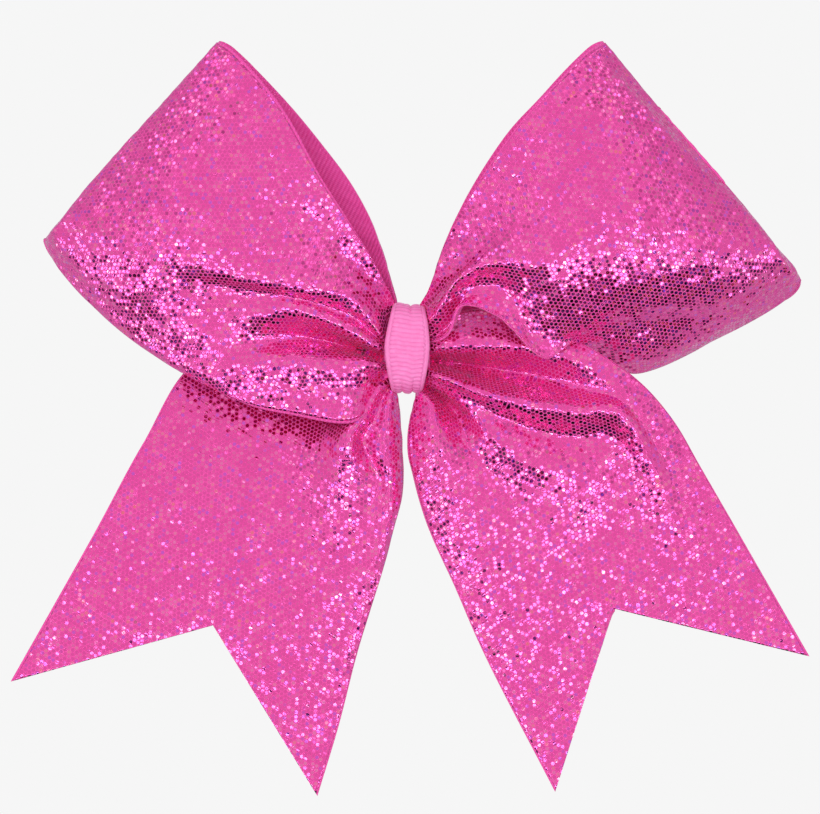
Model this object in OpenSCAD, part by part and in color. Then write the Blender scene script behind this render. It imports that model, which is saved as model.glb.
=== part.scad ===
// Cheer hair bow: two ribbon loops and two notched tails, gathered in a narrow wrap
// on a sprung hair clip. +Z is up, +X is to the wearer's left and -Y is the side that shows.
// The origin is in the clip's grip, straight behind the middle of the wrap.

/* [Bow] */
// Width of the whole bow across its loops and tails
bow_width = 192; // [170:1:200]
// How far a loop's front ply bellies forward
front_puff = 13; // [8:0.5:15]
// How far a loop's back ply bellies backwards
back_puff = 7.5; // [5:0.5:7.5]
// How far the lower edge of each loop curls backwards
loop_curl = 12; // [0:0.5:12]
// How far the tips of the tails stand forward of the wrap
tail_reach = 6; // [0:0.5:8]

/* [Ribbon] */
// Thickness of the ribbed lining
lining_t = 0.6; // [0.5:0.05:0.8]
// Thickness of the foil facing bonded to it
facing_t = 0.4; // [0.3:0.05:0.5]
// Margin of plain lining left along each edge, as a share of the ribbon's width
plain_margin = 0.02; // [0.01:0.005:0.04]

/* [Wrap and tie] */
// Width of the narrow wrap
wrap_w = 10.5; // [9:0.5:12]
// Thickness of the wrap
wrap_t = 0.7; // [0.5:0.1:0.9]
// Width of the cable tie
tie_w = 3.6; // [2.5:0.1:4.8]
// Thickness of the cable tie's strap
tie_t = 0.9; // [0.7:0.1:1.1]

/* [Clip] */
// Distance from the hinge pin to the tip of the jaws
jaw_l = 46; // [40:1:50]
// Distance from the hinge pin to the end of the handles
handle_l = 19; // [16:1:22]
// Thickness of the clip's sheet steel
steel_t = 0.8; // [0.7:0.05:0.9]
// Radius of the hinge pin
pin_r = 1.1; // [1:0.05:1.2]

/* [Hidden] */
$fn = 48;

// The outlines below are drawn for a bow this wide, and are scaled to bow_width.
drawn_width = 192;
size = bow_width / drawn_width;

// Depth of the gathered ribbon's middle, and the half thickness and half height of its section
centre_y = -12;
centre_r = 4.4;
centre_rise = 4.6;
centre_half_w = wrap_w / 2 + 0.35;
snug = 0.1;

// The tails bend at this height, just below the loops, across this gap in the stiff sheets
bend_z = -20;
bend_gap = 0.8;

// Clip: inner face of the front jaw, hinge position, widths
jaw_face_y = -1.8;
hinge_x = 15;
hinge_y = 0.9;
jaw_half_w = 4;
jaw_tip_half_w = 2.6;
ear_reach = 3.6;
ear_gap = 0.3;
running_gap = 0.06;
coil_wire_r = 0.5;
coil_turns = 5;
handle_rise = 24;

steps_along = 16;
steps_across = 6;

// ---------- curves and sheets ----------

function cubic(p, t) =
    pow(1 - t, 3) * p[0] + 3 * t * pow(1 - t, 2) * p[1] + 3 * t * t * (1 - t) * p[2] + pow(t, 3) * p[3];
function mix(a, b, t) = a + (b - a) * t;
function unit(v) = v / norm(v);

// Shares across the ribbon, with a row at each edge of the facing
function across() = concat(
    [0], [for (j = [0:steps_across]) mix(plain_margin, 1 - plain_margin, j / steps_across)], [1]);

// A point of the plane outline, scaled, with its depth
function place(xz, y) = [xz[0] * size, y, xz[1] * size];

// Surface direction at each point of a grid, from its neighbours. End rows keep their own x.
function lean(g, i, j) = let(
    last = len(g) - 1,
    a = g[min(i + 1, last)][j] - g[max(i - 1, 0)][j],
    b = g[i][min(j + 1, len(g[0]) - 1)] - g[i][max(j - 1, 0)],
    n = unit(cross(a, b)))
    i == 0 || i == last ? unit([0, n[1], n[2]]) : n;

// A closed solid between two offsets of a grid. side is +1 or -1, and turns its faces outwards.
module skin(g, near, far, first, last, side) {
    rows = len(g);
    cols = last - first + 1;
    offset_points = function(d) [for (i = [0:rows - 1]) for (j = [first:last]) g[i][j] + side * d * lean(g, i, j)];
    at = function(i, j, top) (top ? rows * cols : 0) + i * cols + j;
    both = function(a, b, c, d) side > 0 ? [[a, b, c], [a, c, d]] : [[a, c, b], [a, d, c]];
    quads = concat(
        [for (i = [0:rows - 2]) for (j = [0:cols - 2])
            both(at(i, j, true), at(i, j + 1, true), at(i + 1, j + 1, true), at(i + 1, j, true))],
        [for (i = [0:rows - 2]) for (j = [0:cols - 2])
            both(at(i, j, false), at(i + 1, j, false), at(i + 1, j + 1, false), at(i, j + 1, false))],
        [for (i = [0:rows - 2])
            both(at(i, 0, false), at(i, 0, true), at(i + 1, 0, true), at(i + 1, 0, false))],
        [for (i = [0:rows - 2])
            both(at(i, cols - 1, false), at(i + 1, cols - 1, false), at(i + 1, cols - 1, true), at(i, cols - 1, true))],
        [for (j = [0:cols - 2])
            both(at(0, j, false), at(0, j + 1, false), at(0, j + 1, true), at(0, j, true))],
        [for (j = [0:cols - 2])
            both(at(rows - 1, j, false), at(rows - 1, j, true), at(rows - 1, j + 1, true), at(rows - 1, j + 1, false))]
    );
    polyhedron(points = concat(offset_points(near), offset_points(far)), faces = [for (q = quads) each q], convexity = 6);
}

module lining_of(g, side) {
    skin(g, -lining_t, 0, 0, steps_across + 2, side);
}

module facing_of(g, side) {
    skin(g, 0, facing_t, 1, steps_across + 1, side);
}

// ---------- loops ----------

// Each edge is a cubic curve of [x, z] from the wrap to the outer fold.
left_front_low = [[-5.6, -6], [-22, -26], [-62, -8], [-87, 27]];
left_front_high = [[-5.6, 8], [-16, 42], [-26, 66], [-45, 73]];
left_back_low = [[-5.6, -3], [-24, -10], [-60, -2], [-87, 27]];
left_back_high = [[-5.6, 7], [-8, 40], [-24, 62], [-45, 73]];
right_front_low = [[5.6, 1], [20, 10], [56, -18], [95, 16]];
right_front_high = [[5.6, 8], [14, 42], [32, 64], [47, 73.5]];
right_back_low = [[5.6, 1], [26, -2], [62, -8], [95, 16]];
right_back_high = [[5.6, 7], [15, 38], [30, 60], [47, 73.5]];

// Distance of a ply from the middle where it leaves the wrap and beside the fold
ply_start = 2.6;
fold_r = 3.5;
fold_sharpness = 8;

// How far a ply lies from the middle at a share u of the way out
function ply_depth(puff, u) = sqrt(max(0, 1 - pow(u, fold_sharpness)))
    * (mix(ply_start, fold_r, u) + (puff - fold_r) * sin(180 * pow(u, 0.8)));
// The lower edge swings backwards as it nears the fold
function curl(u, v) = loop_curl * pow(max(0, 1 - v / 0.4), 2) * pow(u, 2);

function front_ply(low, high, u, v) =
    place(mix(cubic(low, u), cubic(high, u), v), centre_y + curl(u, v) - ply_depth(front_puff, u));
function back_ply(low, high, u, v) =
    place(mix(cubic(low, u), cubic(high, u), v), centre_y + curl(1, v) * pow(u, 4) + ply_depth(back_puff, u));

// A loop's surface runs out along the front ply, round the fold, and back along the back ply.
function loop_grid(front_low, front_high, back_low, back_high) = [
    for (i = [0:2 * steps_along]) let(
        s = abs(1 - i / steps_along), u = 1 - s * s * (1.5 - 0.5 * s),
        front = i <= steps_along)
    [for (v = across()) front ? front_ply(front_low, front_high, u, v) : back_ply(back_low, back_high, u, v)]
];
left_loop = loop_grid(left_front_low, left_front_high, left_back_low, left_back_high);
right_loop = loop_grid(right_front_low, right_front_high, right_back_low, right_back_high);

module left_loop_lining() { color("hotpink") lining_of(left_loop, -1); }
module left_loop_facing() { color("deeppink") facing_of(left_loop, -1); }
module right_loop_lining() { color("hotpink") lining_of(right_loop, 1); }
module right_loop_facing() { color("deeppink") facing_of(right_loop, 1); }

// ---------- tails ----------

// Each edge is a cubic curve of [x, z] from the wrap to a tip, and the notch is the apex of the V cut.
left_tail_outer = [[-5.6, -1], [-55, 8], [-62, -16], [-95, -79.5]];
left_tail_inner = [[-5.6, -11.4], [-5.7, -22], [4, -50], [-21.5, -107]];
left_notch = [-46.5, -66.5];
right_tail_outer = [[5.6, -0.6], [58, 14], [60, -16], [96.5, -74]];
right_tail_inner = [[5.6, -11.4], [5.7, -22], [-4, -50], [35, -106.5]];
right_notch = [49.5, -62.5];
tail_y = -11.4;
tail_belly = 3;
steps_cut = 8;

// The V cut at a share v of the way from the outer tip to the inner tip
function cut_end(outer, notch, inner, v) = v < 0.5 ? mix(outer, notch, 2 * v) : mix(notch, inner, 2 * v - 1);

// Below the bend a tail reaches forward and bellies between its edges
function tail_depth(xz, v) = let(fall = max(0, bend_z - 2 - xz[1]) / 85)
    tail_y - tail_reach * fall * fall - tail_belly * fall * sin(180 * v);

function tail_grid(outer, inner, notch) = [
    for (i = [0:steps_along]) let(u = i / steps_along)
    [for (j = [-1:steps_cut + 1]) let(
        v = j < 0 ? 0 : j > steps_cut ? 1 : mix(plain_margin, 1 - plain_margin, j / steps_cut),
        straight = mix(outer[3], inner[3], v),
        xz = mix(cubic(outer, u), cubic(inner, u), v) + u * (cut_end(outer[3], notch, inner[3], v) - straight))
    place(xz, tail_depth(xz, v))]
];
left_tail = tail_grid(left_tail_outer, left_tail_inner, left_notch);
right_tail = tail_grid(right_tail_outer, right_tail_inner, right_notch);

// The tails' grids run from the outer edge to the inner, so they face the other way from the loops'.
module tail_lining(g, side) {
    color("hotpink") skin(g, -lining_t, 0, 0, steps_cut + 2, side);
}

module tail_facing(g, side) {
    color("deeppink") skin(g, 0, facing_t, 1, steps_cut + 1, side);
}

// The part of a tail above or below its bend
module above_bend() {
    intersection() {
        children();
        translate([-bow_width, -bow_width, bend_z + bend_gap / 2]) cube(2 * bow_width);
    }
}

module below_bend() {
    intersection() {
        children();
        translate([-bow_width, -bow_width, bend_z - bend_gap / 2 - 2 * bow_width]) cube(2 * bow_width);
    }
}

module left_tail_top_lining() { above_bend() tail_lining(left_tail, 1); }
module left_tail_top_facing() { above_bend() tail_facing(left_tail, 1); }
module right_tail_top_lining() { above_bend() tail_lining(right_tail, -1); }
module right_tail_top_facing() { above_bend() tail_facing(right_tail, -1); }
module left_tail_lining() { below_bend() tail_lining(left_tail, 1); }
module left_tail_facing() { below_bend() tail_facing(left_tail, 1); }
module right_tail_lining() { below_bend() tail_lining(right_tail, -1); }
module right_tail_facing() { below_bend() tail_facing(right_tail, -1); }

// ---------- gathered centre, cable tie and wrap ----------

// A section with round ends, in the plane across the bow: depth along Y, height along Z
module gathered_section(grow) {
    for (s = [-1, 1]) translate([centre_y, s * centre_rise]) circle(r = centre_r + grow);
    translate([centre_y - centre_r - grow, -centre_rise]) square([2 * (centre_r + grow), 2 * centre_rise]);
}

// Extrudes a section drawn as [y, z] along X, centred
module across_bow(w) {
    rotate([90, 0, 90]) linear_extrude(w, center = true) children();
}

module gathered_centre() {
    color("deeppink") across_bow(2 * centre_half_w) gathered_section(0);
}

module cable_tie_strap() {
    color("white") across_bow(tie_w) difference() {
        gathered_section(snug + tie_t);
        gathered_section(snug);
    }
}

head_depth = 3.4;
head_w = 5;
head_h = 6;
head_y = centre_y + centre_r + snug + tie_t;

module cable_tie_head() {
    color("white") difference() {
        translate([-head_w / 2, head_y, -head_h / 2]) cube([head_w, head_depth, head_h]);
        translate([-tie_w / 2 - snug, head_y + 1, -head_h / 2 - 1]) cube([tie_w + 2 * snug, tie_t + snug, head_h + 2]);
    }
}

module glue_pads() {
    pad_y = centre_y + centre_r;
    pad_w = centre_half_w - head_w / 2 - 0.35;
    color("ivory") for (s = [-1, 1])
        translate([s * (head_w / 2 + 0.2 + pad_w / 2) - pad_w / 2, pad_y, -3.2])
            cube([pad_w, jaw_face_y - steel_t - pad_y, 6.4]);
}

// The wrap goes round the tie in front and narrows to the clip's front jaw behind.
module wrap_section(grow) {
    hull() {
        gathered_section(snug + tie_t + snug + grow);
        translate([jaw_face_y - steel_t - grow, -jaw_half_w - 0.5 - grow])
            square([steel_t + 2 * grow, 2 * (jaw_half_w + 0.5 + grow)]);
    }
}

module centre_wrap() {
    color("lightpink") across_bow(wrap_w) difference() {
        wrap_section(wrap_t);
        wrap_section(0);
    }
}

// The wrap's free end lies flat over its own back, above the clip's rear jaw.
module wrap_end() {
    color("lightpink")
        translate([-wrap_w / 2, jaw_face_y + wrap_t, -jaw_half_w]) cube([wrap_w, wrap_t, 2 * jaw_half_w]);
}

// ---------- clip ----------

// A jaw's outline seen from behind: wide at the hinge, narrow at the tip, round at the handle
module jaw_outline(half_w) {
    tip_x = hinge_x - jaw_l;
    handle_x = hinge_x + handle_l - half_w;
    polygon([[tip_x, -jaw_tip_half_w], [hinge_x - ear_reach, -half_w], [handle_x, -half_w],
        [handle_x, half_w], [hinge_x - ear_reach, half_w], [tip_x, jaw_tip_half_w]]);
    translate([handle_x, 0]) circle(r = half_w);
}

// Lays an outline drawn as [x, z] in the XZ plane, growing backwards from y
module sheet_at(y, t) {
    translate([0, y + t, 0]) rotate([90, 0, 0]) linear_extrude(t) children();
}

// One side ear with its pin hole, centred on z
module ear(z, t, y_from, y_to, hole_r) {
    translate([0, 0, z - t / 2]) linear_extrude(t) difference() {
        union() {
            translate([hinge_x, hinge_y]) circle(r = ear_reach / 2 + 0.6);
            translate([hinge_x - ear_reach, min(y_from, y_to)]) square([2 * ear_reach, abs(y_to - y_from)]);
        }
        translate([hinge_x, hinge_y]) circle(r = hole_r);
    }
}

// A notched lip across a jaw's tip, from y_root to y_edge
module toothed_lip(y_root, y_edge) {
    tooth = 2 * jaw_tip_half_w / 4;
    notch = 0.4 * tooth;
    out = sign(y_edge - y_root);
    difference() {
        translate([hinge_x - jaw_l, min(y_root, y_edge), -jaw_tip_half_w])
            cube([steel_t, abs(y_edge - y_root), 2 * jaw_tip_half_w]);
        for (k = [-1:1])
            translate([hinge_x - jaw_l - 1, y_edge, k * tooth]) rotate([0, 90, 0])
                linear_extrude(steel_t + 2) polygon(out * [[-notch, 0.3], [notch, 0.3], [0, -0.6]]);
    }
}

module front_jaw() {
    color("silver") union() {
        sheet_at(jaw_face_y - steel_t, steel_t) jaw_outline(jaw_half_w);
        for (s = [-1, 1])
            ear(s * (jaw_half_w - steel_t / 2), steel_t, jaw_face_y - steel_t, hinge_y, pin_r);
        toothed_lip(jaw_face_y - steel_t / 2, jaw_face_y + 1.4);
    }
}

module grip_pad() {
    color("whitesmoke")
        translate([hinge_x - jaw_l + 3, jaw_face_y, -1.9]) cube([jaw_l - hinge_x - wrap_w / 2 - 4.5, 0.9, 3.8]);
}

module hinge_pin() {
    reach = jaw_half_w + ear_gap + steel_t + 0.3;
    color("silver") union() {
        translate([hinge_x, hinge_y, -reach]) cylinder(r = pin_r, h = 2 * reach);
        for (s = [0, 1]) mirror([0, 0, s]) translate([hinge_x, hinge_y, reach]) cylinder(r = pin_r + 0.5, h = 0.5);
    }
}

// A torsion spring's path, as [centre, direction across the wire]: a leg along the front jaw's
// handle, clockwise turns round the pin, and a leg along the rear jaw's handle.
coil_mid_r = pin_r + 0.25 + coil_wire_r;
coil_rise = 4.6;
leg_l = 9.5;
coil_from = -90;
coil_to = 90 + handle_rise - 360 * coil_turns;
coil_steps = 88;
function coil_point(a, z) = [hinge_x + coil_mid_r * cos(a), hinge_y + coil_mid_r * sin(a), z];
spring_path = concat(
    [[[hinge_x + leg_l, jaw_face_y + coil_wire_r + 0.05, -coil_rise / 2], coil_from]],
    [for (k = [0:coil_steps]) let(a = mix(coil_from, coil_to, k / coil_steps))
        [coil_point(a, coil_rise * (k / coil_steps - 0.5)), a]],
    [[coil_point(coil_to, coil_rise / 2) + leg_l * [cos(handle_rise), sin(handle_rise), 0], coil_to]]
);
wire_sides = 8;

// A tube along a path of [centre, direction] pairs
module wire(path, r) {
    rings = len(path);
    points = [for (p = path) for (k = [0:wire_sides - 1]) let(t = 360 * k / wire_sides)
        p[0] + r * (cos(t) * [cos(p[1]), sin(p[1]), 0] + sin(t) * [0, 0, 1])];
    sides = [for (i = [0:rings - 2]) for (k = [0:wire_sides - 1]) let(n = (k + 1) % wire_sides)
        [i * wire_sides + k, (i + 1) * wire_sides + k, (i + 1) * wire_sides + n, i * wire_sides + n]];
    caps = [[for (k = [0:wire_sides - 1]) k], [for (k = [wire_sides - 1:-1:0]) (rings - 1) * wire_sides + k]];
    polyhedron(points = points, faces = concat(sides, caps), convexity = 8);
}

module torsion_spring() {
    color("gray") wire(spring_path, coil_wire_r);
}

rear_slope = 3.8;
rear_ear_z = jaw_half_w + ear_gap + steel_t / 2;
rear_half_w = rear_ear_z + steel_t / 2;
rear_back_y = hinge_y + 2.6;

// A point on the rear jaw's inner face, or raised off it, at a distance from the bend: x < 0 is blade
function rear_point(x, raised) = let(slope = x < 0 ? rear_slope : x > 0 ? handle_rise : (rear_slope + handle_rise) / 2,
    lift = x == 0 ? raised / cos((handle_rise - rear_slope) / 2) : raised)
    [hinge_x + x * cos(slope) - lift * sin(slope), rear_back_y + x * sin(slope) + lift * cos(slope)];

// The moving jaw: a sloped blade, a raised handle, and ears outside the front jaw's
module rear_jaw() {
    stations = [-jaw_l, 0, handle_l + 2];
    strip = concat([for (x = stations) rear_point(x, 0)], [for (k = [2:-1:0]) rear_point(stations[k], steel_t)]);
    lip_y = rear_point(-jaw_l, steel_t / 2)[1];
    color("silver") union() {
        intersection() {
            translate([0, 0, -rear_half_w - 1]) linear_extrude(2 * rear_half_w + 2) polygon(strip);
            sheet_at(-10, 40) jaw_outline(rear_half_w);
        }
        for (s = [-1, 1])
            ear(s * rear_ear_z, steel_t, hinge_y, rear_back_y + steel_t / 2, pin_r + running_gap);
        toothed_lip(lip_y, lip_y - 0.8);
    }
}

left_loop_lining();
left_loop_facing();
right_loop_lining();
right_loop_facing();
left_tail_top_lining();
left_tail_top_facing();
right_tail_top_lining();
right_tail_top_facing();
left_tail_lining();
left_tail_facing();
right_tail_lining();
right_tail_facing();
gathered_centre();
cable_tie_strap();
cable_tie_head();
glue_pads();
centre_wrap();
wrap_end();
front_jaw();
grip_pad();
hinge_pin();
torsion_spring();
rear_jaw();
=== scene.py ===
"""A cheer hair bow: two folded loops and two cut tails of ribbon, under a grosgrain wrap on a hair clip.

The ribbons are smooth surfaces through guide curves. Each guide runs along the ribbon from the bow's
centre outwards, and its points are (x, z, forward) in millimetres, where forward is the distance from
the bow's middle plane towards the front (-Y).
"""
import math

import bpy
import numpy as np
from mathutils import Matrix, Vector, noise


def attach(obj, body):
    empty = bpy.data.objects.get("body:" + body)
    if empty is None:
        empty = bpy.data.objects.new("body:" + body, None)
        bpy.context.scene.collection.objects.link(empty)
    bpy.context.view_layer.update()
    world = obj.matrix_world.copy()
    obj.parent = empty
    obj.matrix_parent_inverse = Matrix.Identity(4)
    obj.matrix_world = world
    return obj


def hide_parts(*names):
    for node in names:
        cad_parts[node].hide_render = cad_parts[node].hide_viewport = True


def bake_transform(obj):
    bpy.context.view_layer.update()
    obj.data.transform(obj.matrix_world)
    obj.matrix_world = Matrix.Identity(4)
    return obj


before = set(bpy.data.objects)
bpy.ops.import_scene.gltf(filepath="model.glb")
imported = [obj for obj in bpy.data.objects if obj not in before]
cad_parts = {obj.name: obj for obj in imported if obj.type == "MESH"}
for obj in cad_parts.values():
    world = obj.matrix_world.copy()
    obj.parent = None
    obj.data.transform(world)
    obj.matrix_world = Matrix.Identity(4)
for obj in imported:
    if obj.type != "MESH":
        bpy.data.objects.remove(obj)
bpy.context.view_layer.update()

MM = 0.001
MIDDLE_Y = -12.0          # the bow's middle plane
LINING_T = 0.5            # thickness of the grosgrain lining
FACING_T = 0.25           # thickness of the foil-dotted facing
BOND_GAP = 0.02           # between the lining and the facing
EDGE_MARGIN = 0.8         # lining left bare along each selvage
MESH_STEP = 0.75          # spacing of the ribbon meshes
WRAP_HALF_W = 5.05        # half the wrap's width over the bow's front
RIB_PITCH = 1.04          # between the wrap's ribs
SELVAGE_W = 0.85          # the wrap's plain edge bands

# ---------------------------------------------------------------- guide curves

LEFT_LOOP_FRONT = [
    # upper selvage
    [(-3, 10.5, 1), (-5, 15, 3), (-8.5, 21.5, 6), (-13.5, 29.5, 9), (-20.5, 40.5, 11), (-30, 57.5, 9),
     (-42, 71.5, 2.6), (-45, 73.5, 0)],
    [(-3.5, 8.5, 1.5), (-6.5, 13.5, 3.5), (-12, 19.5, 6.5), (-20.5, 27, 9.5), (-33, 36.5, 11.5),
     (-46.5, 48.5, 10), (-55.5, 58, 3), (-57.5, 59.5, 0)],
    [(-4, 6, 2.5), (-7.5, 11.5, 5), (-14, 16, 8.5), (-25, 21, 11.5), (-40.5, 27.5, 12.8),
     (-58, 36.5, 10.5), (-68.5, 43, 3), (-70.5, 45, 0)],
    # main crest, with the turned-down face under it
    [(-4.5, 1, 4), (-8, 5.5, 7.5), (-13.5, 11.5, 10), (-25.5, 14, 12), (-40.5, 17, 12.5),
     (-62, 25, 9.8), (-79, 31.5, 2.6), (-81, 33, -0.5)],
    [(-4.5, 0, 3.2), (-8, 3, 5.5), (-13.5, 7.5, 7.5), (-25.5, 11.5, 9.4), (-41.5, 14.2, 9.4),
     (-64, 19, 8.2), (-82.5, 29.5, 0), (-84, 29.5, -2.5)],
    # second ridge and the dark valley under it
    [(-4.5, -1, 4.2), (-8, 0.5, 7), (-13.5, 3.5, 9), (-25, 8, 10), (-42.5, 8, 8.8),
     (-65.5, 13.5, 5.6), (-84, 27.5, -1.5), (-85.5, 28, -4.5)],
    [(-4.5, -2.5, 1), (-8, -1.5, 0.8), (-13.5, 0, 0.6), (-25, 2.5, 3.2), (-44, 2, 8.2),
     (-66.5, 9.5, 2.8), (-85, 25.5, -3.5), (-86.5, 27, -7)],
    # third ridge, lowest fold and lower selvage
    [(-4.5, -4.5, 4), (-8, -4, 6.5), (-13.5, -3.5, 8.2), (-26, -2.5, 8.6), (-45, -3, 7.6),
     (-67, 6.5, 0.4), (-85, 24, -5.5), (-87, 26.5, -9)],
    [(-4.5, -6, 1.5), (-8, -7.5, 3), (-13.5, -10.5, 7), (-25.5, -9.5, 7.4), (-45.5, -7.5, 6.8),
     (-67.5, 4.5, -1.4), (-85, 22, -7.5), (-87.5, 26, -10.5)],
    [(-4.5, -7.5, 1), (-8, -11.5, 1.8), (-12.5, -17.8, 6.6), (-28, -16, 6.4), (-42, -12, 6),
     (-67.5, 3, -3), (-85, 20.5, -9), (-87.5, 26, -11.5)],
]
LEFT_LOOP_BACK = [
    [(-41.5, 72, -2.6), (-29.5, 60, -8), (-19.5, 48, -10), (-13, 39, -9.5), (-8.5, 30.5, -7.5),
     (-5, 20.5, -4.5), (-2.5, 11, -2)],
    [(-71, 42.5, -3.5), (-57, 34.5, -12), (-39, 24.5, -13.5), (-24.5, 17.5, -11), (-13.5, 11.5, -8.5),
     (-7, 6.5, -5), (-3.5, 2.5, -3)],
    [(-84.5, 20.5, -14), (-64, 7, -16), (-43, -3.5, -15), (-25.5, -7.5, -11), (-13.5, -9, -8),
     (-7.5, -7, -5), (-4.5, -6, -3)],
]
RIGHT_LOOP_FRONT = [
    # upper selvage
    [(3, 10, 1), (5.5, 14.5, 3), (9, 24.5, 6), (14, 34.5, 9), (22.5, 47.5, 11.5), (29, 56, 11.5),
     (36, 63.5, 9), (42, 70, 5), (45.5, 72.5, 2), (47, 73.5, 0)],
    [(3.5, 8.5, 1.5), (6.5, 13, 4), (11.5, 21, 7), (19, 30.5, 10), (30.5, 41.5, 12.5),
     (39.5, 48.5, 12.8), (48.5, 54, 11), (56.5, 56.5, 6.5), (59.5, 56.5, 2.2), (61, 56.5, 0)],
    [(3.5, 7, 2.5), (7, 12, 5.5), (13, 18.5, 8.5), (22.5, 26, 11.5), (34.5, 30, 14),
     (44.5, 34.5, 14.5), (57, 38, 12.5), (68, 41, 7), (72, 42, 2.4), (73.5, 42, 0)],
    # main crest, with the turned-down face under it
    [(3.5, 5, 4), (7, 8.5, 8), (12, 16, 11), (20, 20, 13), (30.5, 20.5, 14.8), (40.5, 23, 15),
     (55.5, 26, 13.5), (72.5, 26, 9), (84, 28, 2.2), (85.5, 28, 0)],
    [(3.5, 4, 3.8), (8, 7, 7), (13.5, 15, 9), (21, 18, 10.5), (32, 15.5, 13.2), (41, 16, 13.2),
     (56.5, 17.5, 11.6), (74, 18.5, 7), (87.5, 22.5, 0), (90, 22, -2.5)],
    [(3.5, 3, 3.4), (9, 5.5, 5.5), (14.5, 13.5, 7.6), (22, 15, 8), (32, 8, 9.8), (41.5, 8.5, 9.4),
     (57, 10.5, 7), (75.5, 12.5, 2.4), (90, 18.5, -4), (92.5, 19, -6)],
    [(3.5, 2.5, 3.2), (9.5, 4.5, 5), (14.5, 12, 7.6), (22.5, 12, 8), (32, 3, 7.6),
     (41.5, 4.5, 6.4), (58, 6, 1.5), (76.5, 8.5, -3.5), (91, 16, -8), (94, 18, -9)],
    # curled underside and lower selvage
    [(3.5, 1.5, 3.2), (9.5, 3.5, 5.8), (13.5, 11, 8.2), (22, 9.5, 8.6), (32.5, 0, 7.4),
     (41, 3.2, 4.6), (56.5, -1.5, -3), (77, 5, -9.5), (91.5, 14, -11.5), (94.5, 17, -11.5)],
    [(3.5, 1, 3.4), (9, 2.5, 6.8), (12.5, 10, 9), (21.5, 7.5, 9.4), (33, -2.5, 8), (41, 1.2, 2.4),
     (55, -6.2, -10), (75.5, 2.5, -15), (92, 12, -15), (95, 16, -13.5)],
]
RIGHT_LOOP_BACK = [
    [(44, 72.5, -2.2), (38.5, 67.5, -6), (32, 60.5, -9), (25, 53, -10), (19, 44.5, -10),
     (13.5, 35, -9), (8.5, 24, -7), (5.5, 14.5, -4), (3, 10, -2)],
    [(72, 42, -3), (65.5, 39, -9), (54.5, 35.5, -13), (42.5, 29.5, -13.5), (32, 24.5, -12.5),
     (21.5, 18.5, -10.5), (12.5, 12.5, -8), (7.5, 8.5, -5), (3.5, 5.5, -3)],
    [(92, 12, -18.5), (74, 4.5, -21), (56, -1, -21), (42.5, -0.5, -17), (33, 0.5, -14),
     (22.5, 0.5, -11), (12.5, 0, -8), (7.5, -0.5, -5), (3.5, -0.5, -3)],
]
RIGHT_TAIL = [
    # outer selvage, top ridge and the deep valley under it
    [(3, 1, 0), (9.5, 7, 0), (17.5, 9.5, 0), (29.5, 7, -1), (42, 1, 2.6), (55, -7.5, 2.6),
     (63.5, -17, 1.5), (71.5, -30.5, 1)],
    [(3, -0.5, 3.5), (9.5, 0, 6.5), (17.5, 0.5, 7), (29, 0, 5.5), (41.5, -3.5, 4), (53, -11, 4),
     (61, -20, 3), (68.5, -33.5, 1.5)],
    [(3.5, -3, -0.5), (10, -3.5, -3.4), (18, -4.5, -3.4), (29, -6.5, -1), (41, -9.5, 1.8),
     (51.5, -13, 4.6), (59, -23, 3.5), (65.5, -36.5, 2.2)],
    # second ridge and the smooth valley
    [(3.5, -5, 3.5), (9.5, -7, 6.5), (17.5, -10, 8), (27.5, -13, 8.3), (40, -15, 7.5),
     (50.5, -16, 7.2), (57, -25.5, 5.6), (62, -40, 3)],
    [(3.5, -6.5, 2.5), (9.5, -9, 5), (16.5, -12.5, 5.5), (25, -17.5, 4), (37, -21, 2.6),
     (49.5, -22, 2.6), (53.5, -31, 2.0), (56, -45.5, 1.6)],
    # third ridge and the dark valley
    [(3.5, -7.5, 1.5), (9, -10.5, 3), (14.5, -14.5, 4), (21, -21, 5.8), (30, -27.5, 5.6),
     (44, -32, 3.4), (46, -41.5, 1.6), (47.5, -52, 1.6)],
    [(3, -8.5, -1), (7.5, -11.5, -2.6), (11.5, -15.5, -1.6), (14.5, -23, 2.2), (20.5, -31, 3),
     (29.5, -42.5, 3), (33, -52, 2.5), (36.5, -63, 2)],
    # inner ridge and inner selvage
    [(2.5, -10, 2), (5.5, -13, 3.8), (6.5, -18, 5.2), (7, -24, 5.2), (8.5, -31.5, 4.2),
     (13, -45, 2.5), (18.5, -58, 1.5), (24, -71.5, 1)],
    [(2, -11, 0.5), (1.5, -13.5, 0.5), (0.5, -17.5, 0.5), (0, -22.5, 0.5), (1, -29.5, 0.3),
     (5, -43, 0), (11.5, -57.5, 0), (18.5, -73.5, 0)],
]
RIGHT_CUT = [(96.5, -74, 1), (49.5, -62.5, 2.2), (35.5, -106.5, 1)]
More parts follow.
